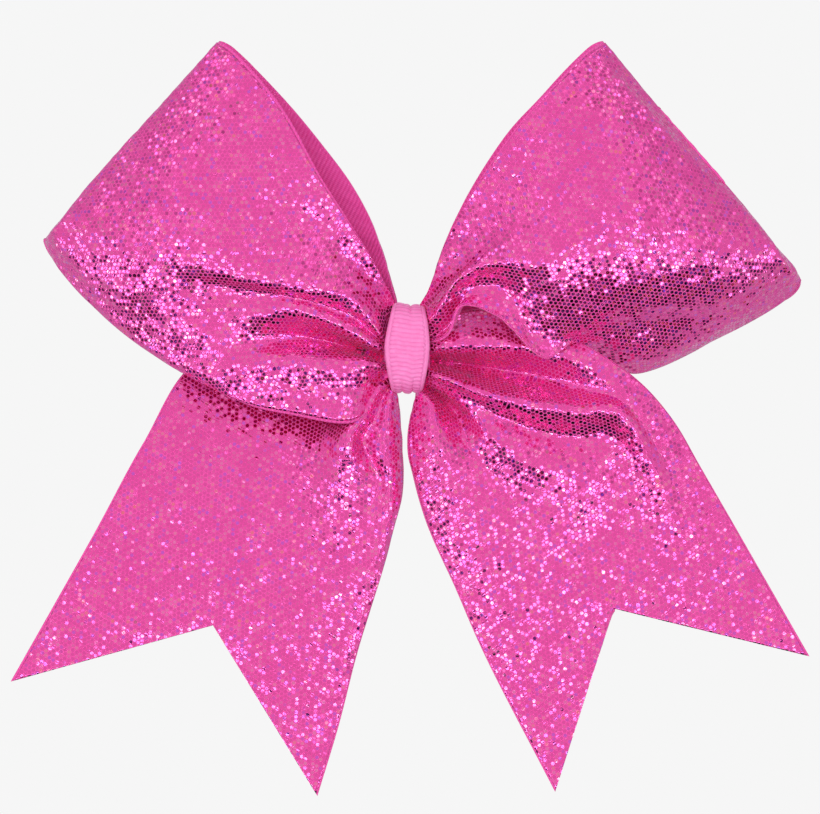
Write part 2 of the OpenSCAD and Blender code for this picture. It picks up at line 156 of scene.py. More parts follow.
LEFT_TAIL = [
    # outer selvage and the flat outer half
    [(-3.5, -0.5, -1), (-10, 2, -3), (-19.5, 2.5, -5), (-35, 0.5, -6.5), (-51, -3.5, -6),
     (-63.5, -23, -2), (-74.5, -43.5, 0.5), (-84, -60.5, 1.5)],
    [(-3.5, -1.5, -0.5), (-10, -0.5, -2.5), (-19, -2, -4.5), (-32.5, -5.5, -5.5), (-46.5, -11.5, -4.5),
     (-58, -29.5, -1), (-67, -49, 1), (-75, -65, 2)],
    [(-3.5, -3, -0.2), (-10, -3, -2), (-18, -6, -3.5), (-29.5, -11.5, -4.5), (-40, -18, -3.5),
     (-49.5, -36, 0), (-58.5, -55, 1.5), (-62.5, -65, 2.4)],
    [(-3.5, -4.5, 0.2), (-9.5, -6, -1.5), (-16, -10.5, -2.8), (-24.5, -16, -3), (-29.5, -23.5, -1.6),
     (-36.5, -42, 0.6), (-45.5, -61, 1.8), (-46.2, -64, 2.2)],
    [(-3.5, -6, 0), (-9, -8.5, -0.5), (-13.5, -13.5, -1.2), (-20, -19, -0.6), (-22.5, -27, 1.2),
     (-25, -46, 0.6), (-34, -66, 1.5), (-37, -73.5, 2)],
    # bright ridge and the crease beside it
    [(-3.5, -7, 2), (-7.5, -10.5, 4), (-10.5, -16, 5.2), (-14, -21.5, 7.4), (-15, -31.5, 4.8),
     (-16.5, -50, 2.2), (-24.5, -70, 1.6), (-28.5, -82.5, 1.6)],
    [(-3, -8, 0.5), (-5.5, -11.5, 1.5), (-7.5, -17, 2.2), (-10.5, -23, 2), (-7, -32.5, 1.6),
     (-11, -51.5, 2.2), (-19, -72, 1.4), (-24, -87, 1.4)],
    # inner ridge and inner selvage
    [(-3, -9.5, 1.5), (-4, -12, 2.2), (-4.5, -18, 3.2), (-5.5, -24.5, 3.8), (-4, -33, 2.6),
     (-7, -51.5, 1.6), (-15, -73, 1), (-20.5, -90, 1)],
    [(-2.5, -10.5, 0), (-2, -12.5, -1), (-1.5, -18, -1), (-1, -24.5, -1), (-1, -34, -1),
     (-5, -50.5, -0.5), (-12, -73.5, 0), (-16.5, -91, 0.5)],
]
LEFT_CUT = [(-95, -80, 2), (-46.5, -66.5, 2.2), (-21.5, -107.5, 1)]
# Where each guide meets the cut: 0 at the outer tip, 1 at the notch, 2 at the inner tip
LEFT_CUT_PLACES = [0, 0.3, 0.6, 1, 1.3, 1.6, 1.75, 1.87, 2]
RIGHT_CUT_PLACES = [0, 0.25, 0.5, 0.75, 1, 1.25, 1.5, 1.75, 2]
CUT_REACH = 9.0           # how far from the cut the ribbon's rows turn to follow it


# ---------------------------------------------------------------- surfaces

def slopes_at(points, knots):
    """The slopes of a smooth curve through points, along axis 0, at unevenly spaced knots."""
    gaps = np.diff(knots).reshape(-1, *[1] * (points.ndim - 1))
    chords = np.diff(points, axis=0) / gaps
    slopes = np.concatenate([chords[:1], chords])
    before, after = gaps[:-1], gaps[1:]
    slopes[1:-1] = (chords[:-1] * after + chords[1:] * before) / (before + after)
    return np.concatenate([slopes, chords[-1:]])[: len(points)]


def smooth_through(points, step):
    """A smooth curve through points, along axis 0, with the number of steps that the gaps need."""
    gaps = np.linalg.norm(np.diff(points, axis=0), axis=-1)
    gaps = gaps.reshape(len(gaps), -1)
    knots = np.concatenate([[0], np.cumsum(np.sqrt(gaps.mean(1)) + 0.05)])
    slopes = slopes_at(points, knots)
    rows = []
    for i in range(len(points) - 1):
        count = max(3, math.ceil(gaps[i].max() / step))
        f = (np.arange(count) / count).reshape(-1, *[1] * (points.ndim - 1))
        h = knots[i + 1] - knots[i]
        rows.append((2 * f**3 - 3 * f**2 + 1) * points[i] + (f**3 - 2 * f**2 + f) * h * slopes[i]
                    + (3 * f**2 - 2 * f**3) * points[i + 1] + (f**3 - f**2) * h * slopes[i + 1])
    rows.append(points[-1:])
    return np.concatenate(rows)


def to_space(points):
    """Guide points (x, z, forward) as (x, y, z), still in millimetres."""
    points = np.asarray(points, float)
    return np.stack([points[..., 0], MIDDLE_Y - points[..., 2], points[..., 1]], axis=-1)


def back_guides(curves, count):
    """The back ply's guides, spread evenly between its upper, middle and lower curve."""
    upper, middle, lower = (np.array(c, float) for c in curves)
    guides = []
    for i in range(count):
        f = i / (count - 1)
        guides.append(upper * (1 - f) * (1 - 2 * f) + middle * 4 * f * (1 - f) + lower * f * (2 * f - 1))
    return guides


def loop_surface(front, back):
    """A loop's surface, rows along the ribbon from the centre round the outer fold and back."""
    behind = back_guides(back, len(front))
    net = np.array([np.concatenate([np.array(f, float), b]) for f, b in zip(front, behind)])
    return surface_of(net)


def tail_surface(guides, cut, places):
    """A tail's surface, rows from the centre to the cut, which runs along two straight edges."""
    cut = np.array(cut, float)
    net = []
    for guide, place in zip(guides, places):
        side = min(int(place), 1)
        end = cut[side] + (cut[side + 1] - cut[side]) * (place - side)
        net.append(np.concatenate([np.array(guide, float), end[None]]))
    surface = surface_of(np.array(net))
    last = surface[-1]
    corners = to_space(cut)
    notch = int(np.argmin(np.linalg.norm(last - corners[1], axis=-1)))
    straight = np.concatenate([even_line(corners[0], corners[1], last[: notch + 1]),
                               even_line(corners[1], corners[2], last[notch:])[1:]])
    distance = np.linalg.norm(surface - last, axis=-1)
    weight = np.clip(1 - distance / CUT_REACH, 0, 1) ** 2
    return surface + (straight - last) * weight[..., None]


def even_line(start, end, row):
    """Points on a straight line, spaced as the points of a row are."""
    run = np.concatenate([[0], np.cumsum(np.linalg.norm(np.diff(row, axis=0), axis=-1))])
    return start + (end - start) * (run / run[-1])[:, None]


def surface_of(net):
    """The smooth surface through a net of guides: rows along the ribbon, columns across it."""
    space = to_space(net)
    along = smooth_through(np.moveaxis(space, 1, 0), MESH_STEP)
    return np.moveaxis(smooth_through(np.moveaxis(along, 1, 0), MESH_STEP), 1, 0)


def normals_of(surface):
    """Unit normals of a grid surface."""
    normal = np.cross(np.gradient(surface, axis=0), np.gradient(surface, axis=1))
    return normal / np.maximum(np.linalg.norm(normal, axis=-1, keepdims=True), 1e-9)


def flatten(surface, coarse=2.5, rounds=500):
    """Where each point of a surface lies when the ribbon is laid out flat, as (across, along) in mm."""
    rows, columns = surface.shape[:2]
    length = np.linalg.norm(np.diff(surface[:, columns // 2], axis=0), axis=-1).sum()
    width = np.linalg.norm(np.diff(surface[rows // 2], axis=0), axis=-1).sum()
    row_at = np.linspace(0, rows - 1, max(6, int(length / coarse))).round().astype(int)
    column_at = np.linspace(0, columns - 1, max(6, int(width / coarse))).round().astype(int)
    net = surface[np.ix_(row_at, column_at)]
    along = net[-1].mean(0) - net[0].mean(0)
    along /= np.linalg.norm(along)
    across = net[:, -1].mean(0) - net[:, 0].mean(0)
    across -= along * (across @ along)
    across /= np.linalg.norm(across)
    flat = np.stack([net @ across, net @ along], axis=-1)
    pairs = [(np.s_[:-1, :], np.s_[1:, :]), (np.s_[:, :-1], np.s_[:, 1:]),
             (np.s_[:-1, :-1], np.s_[1:, 1:]), (np.s_[:-1, 1:], np.s_[1:, :-1])]
    lengths = [np.linalg.norm(net[a] - net[b], axis=-1) for a, b in pairs]
    for _ in range(rounds):
        shift = np.zeros_like(flat)
        for (a, b), rest in zip(pairs, lengths):
            gap = flat[a] - flat[b]
            size = np.maximum(np.linalg.norm(gap, axis=-1), 1e-6)
            pull = gap * ((1 - rest / size) * 0.5)[..., None]
            shift[a] -= pull
            shift[b] += pull
        flat += shift * 0.3
    by_column = np.stack([[np.interp(np.arange(columns), column_at, line[:, k]) for k in (0, 1)]
                          for line in flat])
    full = np.stack([[np.interp(np.arange(rows), row_at, by_column[:, k, c]) for k in (0, 1)]
                     for c in range(columns)])
    return np.moveaxis(full, 2, 0)


def crumpled(surface, flat, seed, amount=0.35, reach=45.0):
    """The surface with small creases that run along the ribbon and fade away from the centre."""
    normal = normals_of(surface)
    out = surface.copy()
    distance = np.linalg.norm(surface - [0, MIDDLE_Y, 0], axis=-1)
    strength = amount * (0.25 + np.exp(-distance / reach))
    for index in np.ndindex(surface.shape[:2]):
        across, along = flat[index]
        wave = noise.noise(Vector((across / 3.2, along / 16, seed)))
        wave += 0.5 * noise.noise(Vector((across / 1.7, along / 7, seed + 9)))
        out[index] += normal[index] * (wave * strength[index])
    return out


# ---------------------------------------------------------------- meshes

def closed_sheet(name, surface, flat_parts, low, high, material):
    """A closed sheet between two offsets from a surface. flat_parts are (first row, flat) in order."""
    rows, columns = surface.shape[:2]
    normal = normals_of(surface)
    top, bottom = surface + normal * high, surface + normal * low
    points = np.concatenate([top.reshape(-1, 3), bottom.reshape(-1, 3)])
    under = rows * columns
    starts = [start for start, _ in flat_parts]
    faces, uvs = [], []

    def flat_at(index, row):
        part = max(i for i, start in enumerate(starts) if start <= row)
        r, c = divmod(index % under, columns)
        return flat_parts[part][1][r - starts[part], c]

    def add(face, row):
        faces.append(face)
        uvs.extend(flat_at(index, row) for index in face)

    for r in range(rows - 1):
        for c in range(columns - 1):
            a = r * columns + c
            quad = (a, a + columns, a + columns + 1, a + 1)
            add(quad, r)
            add(tuple(under + i for i in reversed(quad)), r)
        for c, order in ((0, -1), (columns - 1, 1)):
            a = r * columns + c
            quad = (a, a + columns, under + a + columns, under + a)
            add(quad[::order], r)
    for r, order in ((0, 1), (rows - 1, -1)):
        for c in range(columns - 1):
            a = r * columns + c
            quad = (a, a + 1, under + a + 1, under + a)
            add(quad[::order], min(r, rows - 2))
    return mesh_piece(name, points, faces, material, uvs)


def mesh_piece(name, points, faces, material, uvs=None):
    """A smooth mesh object from points in millimetres."""
    mesh = bpy.data.meshes.new(name)
    mesh.from_pydata((np.asarray(points) * MM).tolist(), [], faces)
    if uvs is not None:
        layer = mesh.uv_layers.new(name="flat")
        layer.data.foreach_set("uv", np.asarray(uvs, np.float32).ravel())
    mesh.shade_smooth()
    mesh.materials.append(material)
    piece = bpy.data.objects.new(name, mesh)
    bpy.context.scene.collection.objects.link(piece)
    return piece


# ---------------------------------------------------------------- materials

class Graph:
    """Short ways to build one node tree."""

    def __init__(self, name, tree=None):
        if tree is None:
            self.material = bpy.data.materials.new(name)
            self.material.use_nodes = True
            tree = self.material.node_tree
            self.shader = tree.nodes["Principled BSDF"]
        self.tree = tree

    def plug(self, socket, value):
        if isinstance(value, bpy.types.NodeSocket):
            self.tree.links.new(value, socket)
        else:
            socket.default_value = value

    def node(self, kind, settings=None, **inputs):
        node = self.tree.nodes.new(kind)
        for name, value in (settings or {}).items():
            setattr(node, name, value)
        for name, value in inputs.items():
            self.plug(node.inputs[name.replace("_", " ")], value)
        return node

    def math(self, operation, *values):
        node = self.node("ShaderNodeMath", {"operation": operation})
        for socket, value in zip(node.inputs, values):
            self.plug(socket, value)
        return node.outputs[0]

    def vector(self, operation, *values):
        node = self.node("ShaderNodeVectorMath", {"operation": operation})
        for socket, value in zip(node.inputs, values):
            self.plug(socket, value)
        return node.outputs["Value" if operation in ("LENGTH", "DOT_PRODUCT") else "Vector"]

    def mix(self, factor, a, b):
        node = self.node("ShaderNodeMix", {"data_type": "RGBA"})
        for index, value in ((0, factor), (6, a), (7, b)):
            self.plug(node.inputs[index], value)
        return node.outputs[2]

    def spread(self, value, low, high, to_low=0.0, to_high=1.0):
        node = self.node("ShaderNodeMapRange", {"interpolation_type": "SMOOTHSTEP"})
        for index, item in enumerate((value, low, high, to_low, to_high)):
            self.plug(node.inputs[index], item)
        return node.outputs[0]

    def noise(self, vector, scale, detail=2.0):
        return self.node("ShaderNodeTexNoise", Vector=vector, Scale=scale, Detail=detail).outputs[0]

    def ramp(self, factor, stops):
        node = self.node("ShaderNodeValToRGB", Fac=factor)
        elements = node.color_ramp.elements
        for element, (place, colour) in zip(elements, (stops[0], stops[-1])):
            element.position = place
            element.color = (*colour, 1)
        for place, colour in stops[1:-1]:
            elements.new(place).color = (*colour, 1)
        return node.outputs[0]

    def bump(self, height, distance, normal=None):
        node = self.node("ShaderNodeBump", Height=height, Distance=distance * MM)
        if normal is not None:
            self.plug(node.inputs["Normal"], normal)
        return node.outputs[0]

    def flat(self):
        return self.node("ShaderNodeUVMap", {"uv_map": "flat"}).outputs[0]

    def place(self):
        return self.node("ShaderNodeTexCoord").outputs["Object"]

    def finish(self, colour, roughness, normal=None, metallic=None, **fixed):
        self.plug(self.shader.inputs["Base Color"], colour)
        self.plug(self.shader.inputs["Roughness"], roughness)
        if normal is not None:
            self.plug(self.shader.inputs["Normal"], normal)
        if metallic is not None:
            self.plug(self.shader.inputs["Metallic"], metallic)
        for name, value in fixed.items():
            self.shader.inputs[name.replace("_", " ")].default_value = value
        return self.material


CLOTH_PINK = (0.80, 0.072, 0.35, 1)
CLOTH_DEEP = (0.73, 0.052, 0.30, 1)
LINING_PINK = (0.92, 0.095, 0.44, 1)
LINING_DEEP = (0.87, 0.072, 0.38, 1)
WRAP_PINK = (0.93, 0.25, 0.57, 1)
WRAP_DEEP = (0.86, 0.13, 0.40, 1)
# Painted shade: the darker colour laid into the grooves between the wrap's ribs.
WRAP_GROOVE_SHADE = (0.66, 0.05, 0.30, 1)

DOT_PITCH = 1.06          # mm between neighbouring foil dots
DOT_RADIUS = 0.40         # of the pitch
DOT_EDGE = 0.05           # of the pitch, over which a dot fades into the cloth
DOT_TILT = 0.13           # how far single dots lean
DOT_STRAY = 0.35          # how far the few worst-laid dots lean
FOIL_WAVE = 0.14          # how far patches of foil lean together


def foil_facing():
    """Pink cloth with hexagonally packed foil dots, each leaning a little its own way."""
    g = Graph("foil_facing")
    flat = g.flat()
    root3 = math.sqrt(3)
    spot = g.vector("MULTIPLY", flat, (1 / DOT_PITCH, 1 / (DOT_PITCH * root3), 0))
    square = g.vector("FLOOR", g.vector("ADD", spot, (0.5, 0.5, 0)))
    offset = g.vector("ADD", g.vector("FLOOR", spot), (0.5, 0.5, 0))
    reach = [g.vector("LENGTH", g.vector("MULTIPLY", g.vector("SUBTRACT", spot, cell), (1, root3, 0)))
             for cell in (square, offset)]
    second = g.math("LESS_THAN", reach[1], reach[0])
    cell = g.mix(second, square, offset)
    nearest = g.math("MINIMUM", *reach)
    dot = g.spread(nearest, DOT_RADIUS - DOT_EDGE, DOT_RADIUS + DOT_EDGE, 1.0, 0.0)
    chance = g.node("ShaderNodeTexWhiteNoise", {"noise_dimensions": "3D"}, Vector=cell)
    blue = g.node("ShaderNodeSeparateColor", Color=chance.outputs["Color"]).outputs["Blue"]
    patch = g.node("ShaderNodeTexNoise", Vector=flat, Scale=0.22, Detail=2.0).outputs["Color"]
    stray = g.vector("SUBTRACT", chance.outputs["Color"], (0.5, 0.5, 0.5))
    cubed = g.vector("MULTIPLY", g.vector("MULTIPLY", stray, stray), stray)
    wave = g.vector("SUBTRACT", patch, (0.5, 0.5, 0.5))
    lean = g.vector("MULTIPLY_ADD", stray, (DOT_TILT, DOT_TILT, 0), (0.5, 0.5, 1))
    lean = g.vector("MULTIPLY_ADD", cubed, (DOT_STRAY, DOT_STRAY, 0), lean)
    lean = g.vector("MULTIPLY_ADD", wave, (FOIL_WAVE, FOIL_WAVE, 0), lean)
    tilted = g.node("ShaderNodeNormalMap", {"uv_map": "flat"}, Color=lean).outputs[0]
    rib = g.math("SINE", g.vector("DOT_PRODUCT", flat, (0, 2 * math.pi / 0.7, 0)))
    fibre = g.noise(flat, 3.0, 4.0)
    height = g.math("ADD", g.math("MULTIPLY", rib, 0.25), fibre)
    normal = g.bump(height, 0.015, tilted)
    shade = g.noise(flat, 0.12, 3.0)
    cloth = g.mix(g.spread(shade, 0.35, 0.7), CLOTH_DEEP, CLOTH_PINK)
    pick = g.math("ADD", g.math("MULTIPLY", blue, 0.75), g.math("MULTIPLY", shade, 0.25))
    foil = g.ramp(pick, [(0.0, (0.94, 0.24, 0.54)), (0.13, (0.91, 0.15, 0.45)), (0.22, (0.87, 0.10, 0.41)),
                         (0.58, (0.85, 0.095, 0.40)), (0.64, (0.66, 0.12, 0.62)), (0.70, (0.87, 0.11, 0.41)),
                         (0.82, (0.92, 0.20, 0.49)), (0.90, (0.94, 0.18, 0.30))])
    roughness = g.math("MULTIPLY_ADD", dot, -0.46, 0.56)
    return g.finish(g.mix(dot, cloth, foil), roughness, normal, dot, Sheen_Weight=0.08,
                    Sheen_Roughness=0.4, Sheen_Tint=(0.8, 0.7, 1.0, 1), Specular_IOR_Level=0.35)


def ribbed_cloth(name, pale, deep, pitch, depth):
    """Plain grosgrain: cords across the ribbon, with a fine thread in each."""
    g = Graph(name)
    flat = g.flat()
    wander = g.noise(flat, 0.5)
    phase = g.vector("DOT_PRODUCT", flat, (0, 2 * math.pi / pitch, 0))
    rib = g.math("SINE", g.math("ADD", phase, g.math("MULTIPLY", wander, 1.5)))
    thread = g.math("SINE", g.vector("DOT_PRODUCT", flat, (2 * math.pi / 0.45, 0, 0)))
    height = g.math("ADD", rib, g.math("MULTIPLY", thread, 0.25))
    # Partly painted shade: the colour is darker in the troughs between the cords, following their height;
    # the noise adds random tone.
    tone = g.math("ADD", g.math("MULTIPLY", rib, 0.25), g.noise(flat, 1.5, 4.0))
    colour = g.mix(g.spread(tone, 0.2, 0.8), deep, pale)
    return g.finish(colour, 0.52, g.bump(height, depth), Sheen_Weight=0.3, Sheen_Roughness=0.35,
                    Specular_IOR_Level=0.45)


def wrap_cloth():
    """The wrap's satin-finished grosgrain, with shade painted darker into the grooves that the mesh has
    between its ribs.
    """
    g = Graph("wrap_ribbon")
    flat = g.flat()
    thread = g.math("SINE", g.vector("DOT_PRODUCT", flat, (2 * math.pi / 0.4, 0, 0)))
    fibre = g.noise(flat, 4.0, 4.0)
    height = g.math("ADD", g.math("MULTIPLY", thread, 0.3), fibre)
    across, along, _ = g.node("ShaderNodeSeparateXYZ", Vector=flat).outputs
    wave = g.math("COSINE", g.math("MULTIPLY", along, 2 * math.pi / RIB_PITCH))
    selvage = WRAP_HALF_W - SELVAGE_W
    inside = g.spread(g.math("ABSOLUTE", across), selvage - 0.3, selvage, 1.0, 0.0)
    # Painted shade: the colour is darkened in the grooves, in step with the ribs in the mesh; the selvage
    # bands are left plain.
    groove = g.math("MULTIPLY", g.spread(wave, -0.9, 0.8), inside)
    ribs = g.mix(g.math("MULTIPLY", groove, 0.85), WRAP_PINK, WRAP_GROOVE_SHADE)
    colour = g.mix(g.math("MULTIPLY", g.spread(g.noise(flat, 0.6, 3.0), 0.3, 0.7), 0.3), ribs, WRAP_DEEP)
    return g.finish(colour, 0.42, g.bump(height, 0.03), Sheen_Weight=0.2, Sheen_Roughness=0.3,
                    Specular_IOR_Level=0.5)


def metal(name, colour, roughness, grain):
    """Plated steel with fine lengthways brushing and smudges."""
    g = Graph(name)
    place = g.place()
    brushed = g.noise(g.vector("MULTIPLY", place, (60, 1600, 1600)), 1.0, 4.0)
    smudge = g.noise(place, 180.0, 3.0)
    tone = g.mix(g.spread(smudge, 0.35, 0.75), tuple(c * 0.78 for c in colour[:3]) + (1,), colour)
    rough = g.math("MULTIPLY_ADD", smudge, 0.25, roughness)
    return g.finish(tone, rough, g.bump(brushed, grain), Metallic=1.0)


def moulded(name, colour, roughness, grain, subsurface=0.0):
    """A moulded plastic or rubber: faint flow marks and a fine satin grain."""
    g = Graph(name)
    place = g.place()
    skin = g.noise(place, 2600.0, 4.0)
    flow = g.noise(place, 260.0, 2.0)
    tone = g.mix(g.spread(flow, 0.3, 0.7), tuple(c * 0.82 for c in colour[:3]) + (1,), colour)
    return g.finish(tone, g.math("MULTIPLY_ADD", flow, 0.2, roughness), g.bump(skin, grain),
                    Subsurface_Weight=subsurface)


FOIL = foil_facing()
LINING = ribbed_cloth("ribbon_lining", LINING_PINK, LINING_DEEP, 1.0, 0.06)
WRAP = wrap_cloth()
STEEL = metal("clip_steel", (0.72, 0.72, 0.74, 1), 0.22, 0.02)
SPRING_STEEL = metal("spring_steel", (0.55, 0.55, 0.57, 1), 0.28, 0.01)
NYLON = moulded("tie_nylon", (0.86, 0.86, 0.84, 1), 0.35, 0.01)
GLUE = moulded("hot_glue", (0.85, 0.80, 0.66, 1), 0.18, 0.02, 0.4)
RUBBER = moulded("grip_rubber", (0.80, 0.80, 0.80, 1), 0.6, 0.03)
CAD_FINISH = {
    "front_jaw": STEEL, "rear_jaw": STEEL, "hinge_pin": STEEL, "grip_pad": RUBBER,
    "cable_tie_strap": NYLON, "cable_tie_head": NYLON, "glue_pads": GLUE,
}


# ---------------------------------------------------------------- ribbons

def ribbon_pieces(name, surface, flat_parts):
    """The lining and the narrower foil facing that is bonded to its outer side."""
    margin = round(EDGE_MARGIN / MESH_STEP)
    lining = closed_sheet(name + "_lining_cloth", surface, flat_parts, -LINING_T, 0.0, LINING)
    narrow = [(start, flat[:, margin:-margin]) for start, flat in flat_parts]
    facing = closed_sheet(name + "_facing_cloth", surface[:, margin:-margin], narrow,
                          BOND_GAP, BOND_GAP + FACING_T, FOIL)
    return lining, facing


def make_loop(side, front, back, seed):
    """One loop of ribbon, folded round its outer edge."""
    name = side + "_loop"
    if side == "right":
        front, back = front[::-1], back[::-1]
    surface = loop_surface(front, back)
    fold = int(np.argmax(np.abs(surface[..., 0]).mean(1)))
    parts = [(0, flatten(surface[: fold + 1])), (fold, flatten(surface[fold:]))]
    flat_all = np.concatenate([parts[0][1], parts[1][1][1:]])
    surface = crumpled(surface, flat_all, seed)
    lining, facing = ribbon_pieces(name, surface, parts)
    for piece, node in ((lining, name + "_lining"), (facing, name + "_facing")):
        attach(piece, "bow")
        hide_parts(node)


def make_tail(side, guides, cut, places, seed):
    """One tail of ribbon, in one piece from inside the wrap to its V-shaped cut."""
    name = side + "_tail"
    surface = tail_surface(guides, cut, places)
    if side == "right":
        surface = surface[:, ::-1]
    parts = [(0, flatten(surface))]
    surface = crumpled(surface, parts[0][1], seed)
    lining, facing = ribbon_pieces(name, surface, parts)
    for piece, part in ((lining, "lining"), (facing, "facing")):
        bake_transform(piece)
        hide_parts(f"{name}_{part}", f"{name}_top_{part}")


make_loop("left", LEFT_LOOP_FRONT, LEFT_LOOP_BACK, 3)
make_loop("right", RIGHT_LOOP_FRONT, RIGHT_LOOP_BACK, 17)
make_tail("left", LEFT_TAIL, LEFT_CUT, LEFT_CUT_PLACES, 31)
make_tail("right", RIGHT_TAIL, RIGHT_CUT, RIGHT_CUT_PLACES, 47)


# ---------------------------------------------------------------- wrap and centre

WRAP_PATH = [  # (y, z) from the back, under the bow, up its front and over to the back again
    (-1.5, 3.5), (-1.4, 0), (-1.6, -3.5), (-4, -6.6), (-8, -9.4), (-12.5, -10.5), (-16, -9.8),
    (-18.2, -7.4), (-19.1, -4), (-19.3, 0), (-19.1, 4), (-18.3, 7.2), (-16, 9.4), (-12.5, 10.1),
    (-8, 9.2), (-4, 6.7), (-1.5, 4.6), (-0.8, 3), (-0.7, 0), (-0.7, -3.6),
]
WRAP_PINCH = 1.7          # how much narrower each side is over the top and under the bottom
WRAP_RISE = 10.5          # from the wrap's middle to its top and bottom
WRAP_LEAN = 0.4           # how far its top is set to the right
WRAP_T = 0.5
WRAP_STEP = 0.16          # spacing of its mesh along the band
WRAP_COLUMNS = 56
RIB_RISE = 0.42


def hump(across, centre, width):
    """A smooth bump of height 1 at one place across the wrap."""
    return np.exp(-(((across - centre) / width) ** 2))


def make_wrap():
    """The grosgrain band round the bow's middle and the clip, with its ribs and creases in the mesh."""
    path = smooth_through(np.array(WRAP_PATH, float), WRAP_STEP)
    across = np.linspace(-1, 1, WRAP_COLUMNS + 1)
    run = np.concatenate([[0], np.cumsum(np.linalg.norm(np.diff(path, axis=0), axis=1))])
    y, z = path[:, 0], path[:, 1]
    half = WRAP_HALF_W - WRAP_PINCH * (np.abs(z) / WRAP_RISE) ** 1.5
    surface = np.zeros((len(path), WRAP_COLUMNS + 1, 3))
    surface[..., 0] = half[:, None] * across + WRAP_LEAN * np.clip(z / 10, 0, 1)[:, None]
    surface[..., 1] = y[:, None]
    surface[..., 2] = z[:, None]
    normal = normals_of(surface)
    if normal[len(path) // 2, WRAP_COLUMNS // 2, 1] > 0:
        normal = -normal
    edge = (1 - np.abs(across)) * WRAP_HALF_W
    ribbed = np.clip((edge - SELVAGE_W) / 0.5, 0, 1)
    wander = np.array([[noise.noise(Vector((a * 2.4, r / 7, 5))) for a in across] for r in run])
    lean = 0.3 * wander + 0.35 * np.sin(2.6 * across)
    groove = np.cos(math.pi * (run[:, None] + lean) / RIB_PITCH) ** 2
    fade = np.clip((10.2 - np.abs(z)) / 3, 0.25, 1)[:, None]
    ribs = (0.5 - groove) * RIB_RISE * ribbed * fade
    seam = 0.12 * np.exp(-((edge - SELVAGE_W) / 0.25) ** 2)
    roll = -0.5 * across**4 - 0.3 * np.clip((0.6 - edge) / 0.6, 0, 1) ** 2
    crease = 0.6 * hump(across, 0.12, 0.13) + 0.15 * hump(across, 0.3, 0.55)
    top = np.clip((z - 6.0) / 4, 0, 1)[:, None] * (crease - 0.9 * np.clip(-across - 0.3, 0, 1))
    low = np.clip((-z - 6.5) / 4, 0, 1)[:, None] * (hump(across, 0.36, 0.14) + hump(across, -0.34, 0.14))
    dents = 0.15 * wander - top - 0.8 * low
    surface += normal * (ribs - seam + roll + dents)[..., None]
    flat = np.stack([np.broadcast_to(across * WRAP_HALF_W, lean.shape), run[:, None] + lean], axis=-1)
    piece = closed_sheet("wrap_band", surface, [(0, flat)], -WRAP_T, 0.0, WRAP)
    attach(piece, "bow")
    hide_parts("centre_wrap", "wrap_end")


CORE_HALF_W = 5.5
CORE_PLEATS = 18
CORE_DEPTH = 3.9          # from the core's middle to its front and back
CORE_RISE = 8.0           # and to its top and bottom
PLEAT_DEPTH = 0.09        # of the core's radius


def make_core():
    """The pleated middle of the ribbons, squeezed by the tie inside the wrap."""
    around = np.linspace(0, 2 * math.pi, 181)[:-1]
    pleat = 1 + PLEAT_DEPTH * np.cos(CORE_PLEATS * around)
    points, faces = [], []
    stations = (-CORE_HALF_W, -2.6, 0, 2.6, CORE_HALF_W)
    squeeze = (1.0, 0.96, 0.92, 0.96, 1.0)
    for x, s in zip(stations, squeeze):
        for a, p in zip(around, pleat):
            points.append((x, MIDDLE_Y + CORE_DEPTH * s * p * math.cos(a), CORE_RISE * s * p * math.sin(a)))
    n = len(around)
    for k in range(len(stations) - 1):
        for i in range(n):
            j = (i + 1) % n
            faces.append((k * n + i, k * n + j, (k + 1) * n + j, (k + 1) * n + i))
    faces.append(tuple(range(n))[::-1])
    faces.append(tuple(range((len(stations) - 1) * n, len(stations) * n)))
    turns = [math.atan2(z, y - MIDDLE_Y) for _, y, z in points]
    uvs = [(points[i][0], CORE_RISE * turns[i]) for face in faces for i in face]
    piece = mesh_piece("pleated_core", points, faces, LINING, uvs)
    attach(piece, "bow")
    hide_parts("gathered_centre")


make_wrap()
make_core()


# ---------------------------------------------------------------- clip

HINGE = Vector((15.0, 0.9, 0.0))
COIL_R = 1.85
WIRE_R = 0.5
COIL_TURNS = 5
COIL_RISE = 4.6           # the coil's length along the pin
COIL_STEPS = 120
HANDLE_RISE = math.radians(24)
LEG_L = 9.0
FIXED_LEG_Y = -1.25


def wire(name, points, body, node):
    """A round steel wire through points in millimetres."""
    curve = bpy.data.curves.new(name, "CURVE")
    curve.dimensions = "3D"
    curve.bevel_depth = WIRE_R * MM
    curve.bevel_resolution = 3
    curve.use_fill_caps = True
    spline = curve.splines.new("POLY")
    spline.points.add(len(points) - 1)
    for spot, point in zip(spline.points, points):
        spot.co = (*(c * MM for c in point), 1)
    curve.materials.append(SPRING_STEEL)
    piece = bpy.data.objects.new(name, curve)
    bpy.context.scene.collection.objects.link(piece)
    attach(piece, body)
    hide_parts(node)


def make_spring():
    """The torsion spring: its coil and one leg stay with the front jaw, the other leg moves."""
    first = -math.pi / 2
    last = math.pi / 2 + HANDLE_RISE - 2 * math.pi * COIL_TURNS
    coil = []
    for k in range(COIL_STEPS + 1):
        a = first + (last - first) * k / COIL_STEPS
        coil.append((HINGE.x + COIL_R * math.cos(a), HINGE.y + COIL_R * math.sin(a),
                     COIL_RISE * (k / COIL_STEPS - 0.5)))
    start = (HINGE.x + LEG_L, FIXED_LEG_Y, -COIL_RISE / 2)
    wire("spring_coil", [start] + coil, "bow", "torsion_spring")
    x, y, z = coil[-1]
    leg = (x + LEG_L * math.cos(HANDLE_RISE), y + LEG_L * math.sin(HANDLE_RISE), z)
    wire("spring_leg", [(x, y, z), leg], "rear_jaw", "torsion_spring")


make_spring()
for node, finish in CAD_FINISH.items():
    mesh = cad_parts[node].data
    mesh.materials.clear()
    mesh.materials.append(finish)


# ---------------------------------------------------------------- studio

